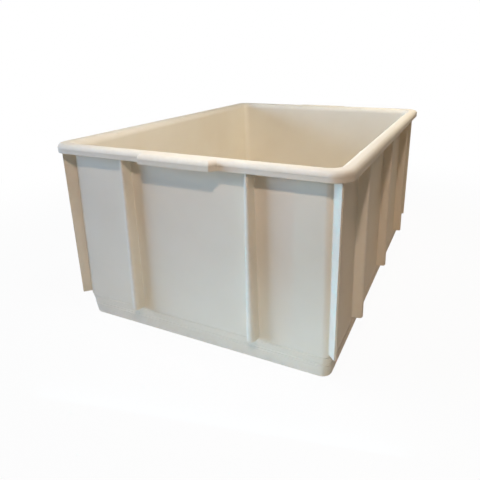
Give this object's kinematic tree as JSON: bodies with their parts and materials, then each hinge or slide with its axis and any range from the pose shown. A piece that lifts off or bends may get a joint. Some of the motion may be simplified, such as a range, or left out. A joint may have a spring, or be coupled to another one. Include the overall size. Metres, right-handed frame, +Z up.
{
  "type": "tote box",
  "caption": "Open-topped stackable harvest tote with upright walls, a rolled rim with end grip tabs, ribs and corner fins with flat stacking feet, and a stepped base.",
  "frame": {"origin": "on the standing face, below the middle of the tote", "axes": "+Z up; Y along the long sides with the front end towards -Y; X across the ends"},
  "size_m": [0.41, 0.574, 0.258],
  "materials": {
    "moulded_polyethylene": "fine satin, natural cream"
  },
  "bodies": {
    "root": {"back_rib_left": "moulded_polyethylene", "back_rib_right": "moulded_polyethylene", "base_band": "moulded_polyethylene", "corner_fin_back_left": "moulded_polyethylene", "corner_fin_back_right": "moulded_polyethylene", "corner_fin_front_left": "moulded_polyethylene", "corner_fin_front_right": "moulded_polyethylene", "floor_panel": "moulded_polyethylene", "front_rib_left": "moulded_polyethylene", "front_rib_right": "moulded_polyethylene", "grip_tab_back": "moulded_polyethylene", "grip_tab_front": "moulded_polyethylene", "left_rib_back": "moulded_polyethylene", "left_rib_front": "moulded_polyethylene", "right_rib_back": "moulded_polyethylene", "right_rib_front": "moulded_polyethylene", "rim_back": "moulded_polyethylene", "rim_front": "moulded_polyethylene", "rim_left": "moulded_polyethylene", "rim_right": "moulded_polyethylene", "wall_back": "moulded_polyethylene", "wall_front": "moulded_polyethylene", "wall_left": "moulded_polyethylene", "wall_right": "moulded_polyethylene"}
  },
  "joints": []
}
